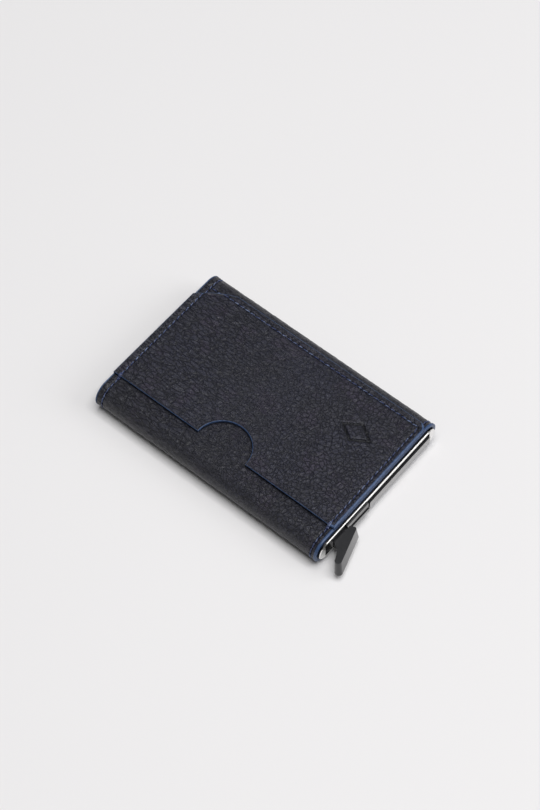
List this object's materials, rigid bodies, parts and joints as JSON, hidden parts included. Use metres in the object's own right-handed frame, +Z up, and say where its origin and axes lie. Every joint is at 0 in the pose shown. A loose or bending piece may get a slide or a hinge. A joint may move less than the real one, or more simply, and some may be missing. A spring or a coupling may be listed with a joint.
{
  "type": "pop-up card holder",
  "caption": "Flat aluminium card case in a stitched dark leather wrap, with a front slip pocket, a thumb notch and a lever that pushes the cards out.",
  "frame": {"origin": "centre of the flat back face of the leather wrap, on the surface that the holder lies on", "axes": "+X along the case from the card mouth to the lever end, +Y towards the long side away from the thumb fin, +Z up through the front pocket"},
  "size_m": [0.1079, 0.0666, 0.013],
  "materials": {
    "anodised_aluminium": "black anodised, with bright machined rims",
    "black_plastic": "gloss",
    "lever_plastic": "fine satin, polished on the thumb face",
    "steel": "ground",
    "felt": "matte felt",
    "adhesive_film": "matte",
    "lining": "fine weave",
    "leather": "pebbled grain, satin",
    "thread": "twisted polyester thread",
    "edge_paint": "sealed satin edge"
  },
  "bodies": {
    "case": {"card_case": "anodised_aluminium", "base_block": "black_plastic", "lever_pivot_pin": "steel", "block_retaining_pins": "steel", "front_friction_pad": "felt", "back_friction_pad": "felt", "wrap_adhesive": "adhesive_film", "wrap_lining": "lining", "leather_wrap": "leather", "pocket_panel": "leather", "pocket_lining": "lining", "mouth_end_stitching": "thread", "lever_end_stitching": "thread", "pocket_far_stitching": "thread", "bar_tacks": "thread", "mouth_edge_paint": "edge_paint", "lever_edge_paint": "edge_paint", "pocket_edge_paint": "edge_paint"},
    "lever": {"eject_lever": "lever_plastic"}
  },
  "joints": [
    {"name": "lever_pivot", "type": "hinge", "parent": "case", "child": "lever", "pos_m": [0.045, -0.0237, 0.0058], "axis": [0, 0, 1], "range_deg": [0, 35]}
  ]
}
